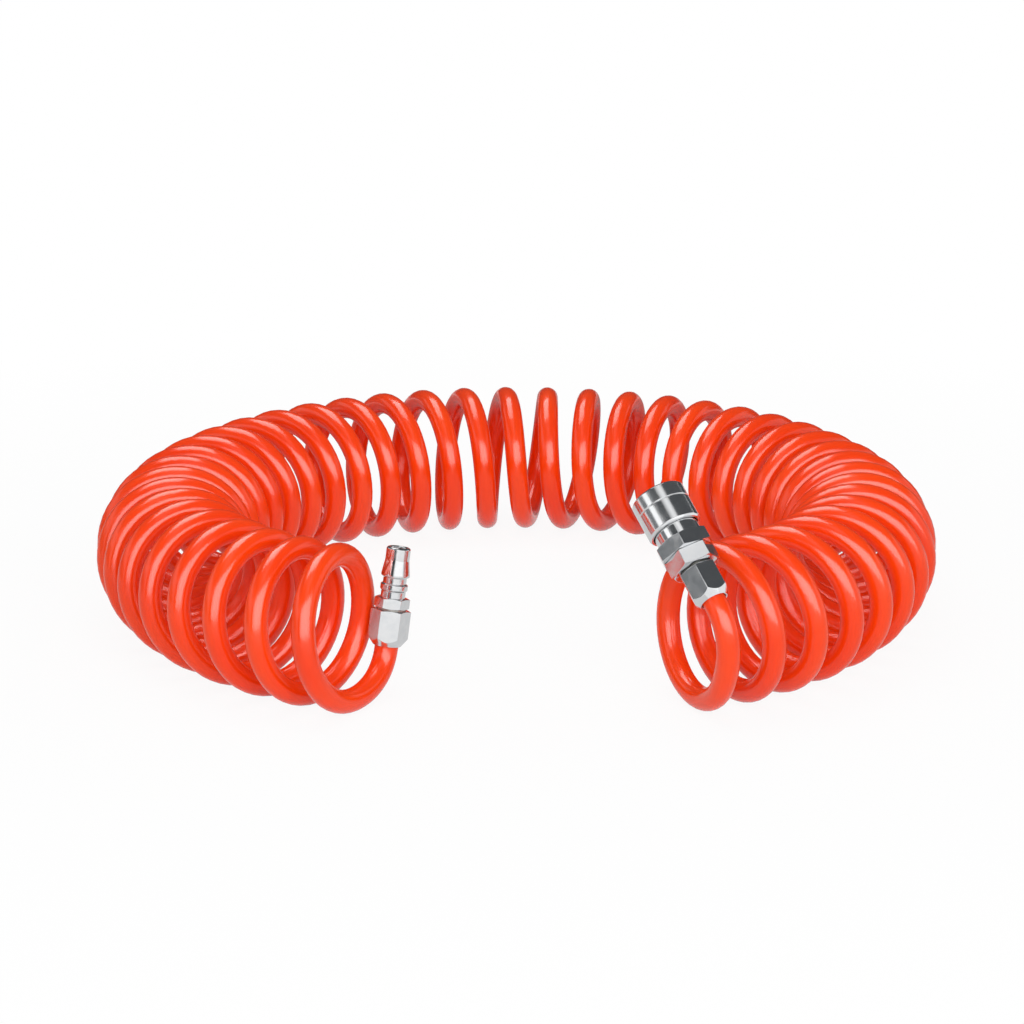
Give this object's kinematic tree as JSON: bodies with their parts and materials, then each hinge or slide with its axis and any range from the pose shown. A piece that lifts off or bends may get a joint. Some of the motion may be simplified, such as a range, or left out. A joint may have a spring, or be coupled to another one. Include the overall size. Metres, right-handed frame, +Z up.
{
  "type": "coiled air hose",
  "caption": "Spring-coiled polyurethane air hose bent into a horseshoe, with a male quick plug on one end and a ball-lock quick socket on the other.",
  "frame": {"origin": "middle of the coil's footprint, on the surface that it stands on", "axes": "+Z up, +X from the plug's end to the socket's end, +Y away from the open side of the horseshoe"},
  "size_m": [0.3784, 0.3593, 0.0972],
  "materials": {
    "hose": "glossy orange-red polyurethane tube",
    "fittings": "bright nickel-chrome plate",
    "steel": "plain spring and ball steel",
    "valve": "machined brass",
    "seals": "black nitrile rubber"
  },
  "bodies": {
    "hose_and_fittings": {"hose": "hose", "plug_body": "fittings", "plug_hose_nut": "fittings", "socket_body": "fittings", "sleeve_ring": "steel", "plug_seal": "seals", "adapter": "fittings", "adapter_seal": "seals", "socket_hose_nut": "fittings", "sleeve_spring": "steel", "valve_spring": "steel"},
    "sleeve": {"sleeve": "fittings"},
    "valve": {"valve": "valve", "valve_seal": "seals"},
    "lock_ball_1": {"lock_ball_1": "steel"},
    "lock_ball_2": {"lock_ball_2": "steel"},
    "lock_ball_3": {"lock_ball_3": "steel"},
    "lock_ball_4": {"lock_ball_4": "steel"},
    "lock_ball_5": {"lock_ball_5": "steel"},
    "lock_ball_6": {"lock_ball_6": "steel"}
  },
  "joints": [
    {"name": "sleeve_slide", "type": "slide", "parent": "hose_and_fittings", "child": "sleeve", "axis": [0.4155, -0.6041, -0.68], "range_m": [0, 0.003], "stiffness_N_per_m": 2000, "springref_m": -0.003, "deforming": ["sleeve_spring"]},
    {"name": "valve_slide", "type": "slide", "parent": "hose_and_fittings", "child": "valve", "axis": [0.4155, -0.6041, -0.68], "range_m": [0, 0.004], "stiffness_N_per_m": 1000, "springref_m": -0.003, "deforming": ["valve_spring"]},
    {"name": "lock_ball_1_slide", "type": "slide", "parent": "hose_and_fittings", "child": "lock_ball_1", "axis": [0.9096, 0.276, 0.3106], "range_m": [0, 0.001]},
    {"name": "lock_ball_2_slide", "type": "slide", "parent": "hose_and_fittings", "child": "lock_ball_2", "axis": [0.4548, -0.5095, 0.7305], "range_m": [0, 0.001]},
    {"name": "lock_ball_3_slide", "type": "slide", "parent": "hose_and_fittings", "child": "lock_ball_3", "axis": [-0.4548, -0.7854, 0.4198], "range_m": [0, 0.001]},
    {"name": "lock_ball_4_slide", "type": "slide", "parent": "hose_and_fittings", "child": "lock_ball_4", "axis": [-0.9096, -0.276, -0.3106], "range_m": [0, 0.001]},
    {"name": "lock_ball_5_slide", "type": "slide", "parent": "hose_and_fittings", "child": "lock_ball_5", "axis": [-0.4548, 0.5095, -0.7305], "range_m": [0, 0.001]},
    {"name": "lock_ball_6_slide", "type": "slide", "parent": "hose_and_fittings", "child": "lock_ball_6", "axis": [0.4548, 0.7854, -0.4198], "range_m": [0, 0.001]}
  ],
  "couplings": [
    {"joint": "lock_ball_1_slide", "follows": "sleeve_slide", "ratio": 0.3333},
    {"joint": "lock_ball_2_slide", "follows": "sleeve_slide", "ratio": 0.3333},
    {"joint": "lock_ball_3_slide", "follows": "sleeve_slide", "ratio": 0.3333},
    {"joint": "lock_ball_4_slide", "follows": "sleeve_slide", "ratio": 0.3333},
    {"joint": "lock_ball_5_slide", "follows": "sleeve_slide", "ratio": 0.3333},
    {"joint": "lock_ball_6_slide", "follows": "sleeve_slide", "ratio": 0.3333}
  ]
}
